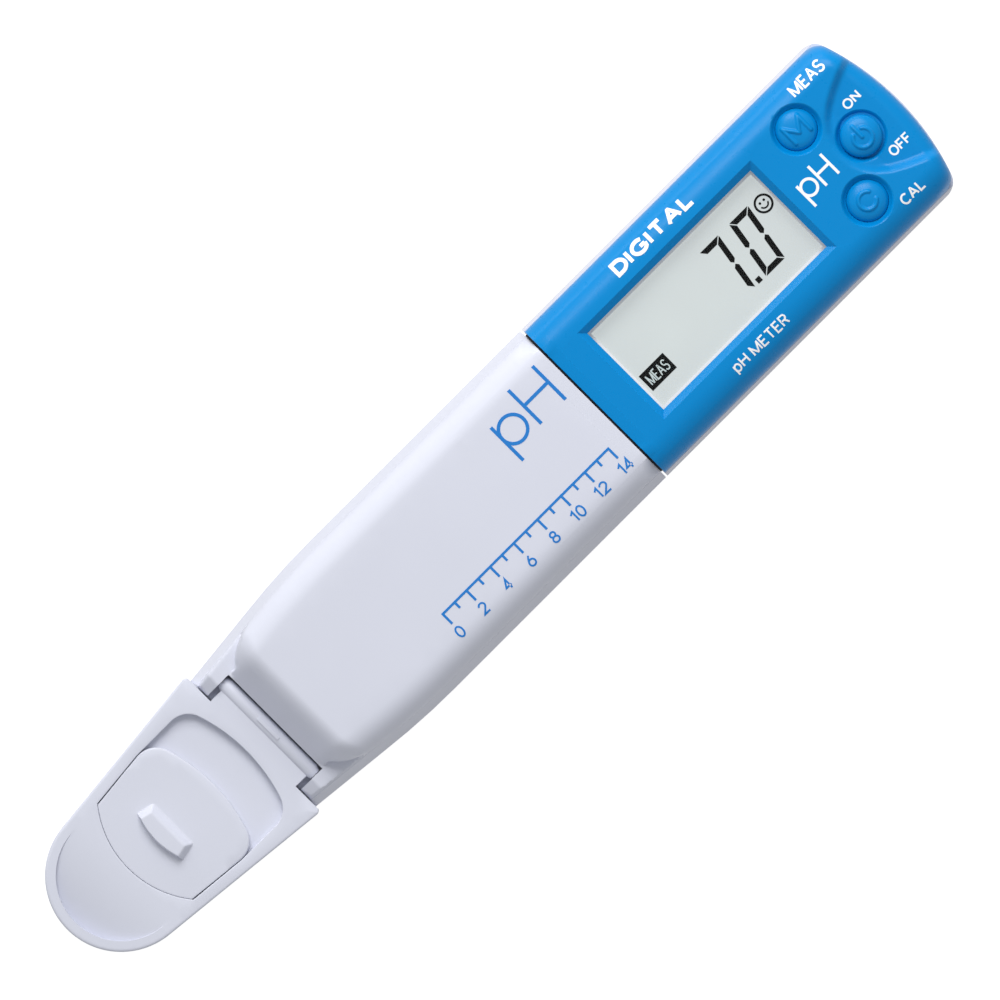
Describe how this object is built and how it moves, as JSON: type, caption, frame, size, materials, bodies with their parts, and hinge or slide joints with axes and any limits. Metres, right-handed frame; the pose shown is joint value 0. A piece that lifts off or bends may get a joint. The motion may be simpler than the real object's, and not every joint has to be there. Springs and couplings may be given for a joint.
{
  "type": "digital ph meter",
  "caption": "Slim pocket pH meter with a segment display, push keys, and a plug-in flat sensor under a hinged lid with a sliding cap.",
  "frame": {"origin": "bottom centre of the bounding box: under the middle of the instrument, on the plane of its back", "axes": "+Y towards the display end, +Z out of the display face, +X to the right when the display end points up"},
  "size_m": [0.0288, 0.164, 0.02],
  "materials": {
    "blue_shell": "fine moulded texture, satin",
    "grey_shell": "fine moulded texture, satin",
    "clear_lens": "clear",
    "glass": "clear",
    "display_dark": "printed",
    "display_reflector": "satin",
    "black_rubber": "matte",
    "grey_rubber": "matte",
    "white_plastic": "satin",
    "board_green": "solder mask",
    "chip_black": "matte",
    "steel": "satin",
    "bright_steel": "bright",
    "gold": "plated",
    "amber_film": "smooth film",
    "clear_gel": "wet gel",
    "sensor_blue": "printed film",
    "ceramic": "porous",
    "silver": "satin"
  },
  "bodies": {
    "meter": {"front_cover": "blue_shell", "rear_case": "grey_shell", "case_seal_cord": "black_rubber", "battery_seal_ring": "black_rubber", "case_screws": "steel", "window_lens": "clear_lens", "display_frame": "white_plastic", "front_polariser": "display_reflector", "display_front_glass": "glass", "display_rear_glass": "glass", "rear_reflector": "display_reflector", "display_backing_pad": "white_plastic", "contact_strips": "grey_rubber", "display_segments": "display_dark", "main_board": "board_green", "processor_chip": "chip_black", "amplifier_chip": "chip_black", "clock_crystal": "bright_steel", "small_components": "ceramic", "press_switches": "bright_steel", "keypad_mat": "grey_rubber", "connector_plug": "white_plastic", "contact_pins": "gold", "joint_gasket": "black_rubber", "plug_seal_ring": "black_rubber", "frame_screws": "steel", "board_screws": "steel", "coin_cell_a": "bright_steel", "coin_cell_b": "bright_steel", "positive_contacts": "gold", "negative_contacts": "gold"},
    "measure_key": {"measure_button": "blue_shell"},
    "power_key": {"power_button": "blue_shell"},
    "calibrate_key": {"calibrate_button": "blue_shell"},
    "battery_door": {"battery_cover": "grey_shell"},
    "sensor": {"sensor_front_shell": "grey_shell", "sensor_rear_shell": "grey_shell", "latch_tongue": "grey_shell", "sensor_contact_board": "board_green", "contact_pads": "gold", "flexible_lead": "amber_film", "gel_cartridge": "white_plastic", "reference_gel": "clear_gel", "cartridge_plug": "grey_rubber", "sensor_base_plate": "white_plastic", "glass_membrane": "glass", "liquid_junction": "ceramic", "silver_electrodes": "silver", "thermistor": "chip_black", "sensor_mask": "sensor_blue", "sensor_guard": "white_plastic", "well_seal": "grey_rubber", "hinge_pin": "steel"},
    "lid": {"light_shield_lid": "grey_shell"},
    "slide": {"slide_cap": "grey_shell"}
  },
  "joints": [
    {"name": "measure_key_press", "type": "slide", "parent": "meter", "child": "measure_key", "axis": [0, 0, -1], "range_m": [0, 0.0005], "stiffness_N_per_m": 600},
    {"name": "power_key_press", "type": "slide", "parent": "meter", "child": "power_key", "axis": [0, 0, -1], "range_m": [0, 0.0005], "stiffness_N_per_m": 600},
    {"name": "calibrate_key_press", "type": "slide", "parent": "meter", "child": "calibrate_key", "axis": [0, 0, -1], "range_m": [0, 0.0005], "stiffness_N_per_m": 600},
    {"name": "battery_door_slide", "type": "slide", "parent": "meter", "child": "battery_door", "axis": [0, 1, 0], "range_m": [0, 0.055]},
    {"name": "sensor_pull", "type": "slide", "parent": "meter", "child": "sensor", "axis": [0, -1, 0], "range_m": [0, 0.03], "deforming": ["latch_tongue"]},
    {"name": "lid_hinge", "type": "hinge", "parent": "sensor", "child": "lid", "pos_m": [0, -0.04225, 0.0109], "axis": [-1, 0, 0], "range_deg": [0, 110]},
    {"name": "slide_cap_slide", "type": "slide", "parent": "lid", "child": "slide", "axis": [0, 1, 0], "range_m": [0, 0.0064]}
  ]
}
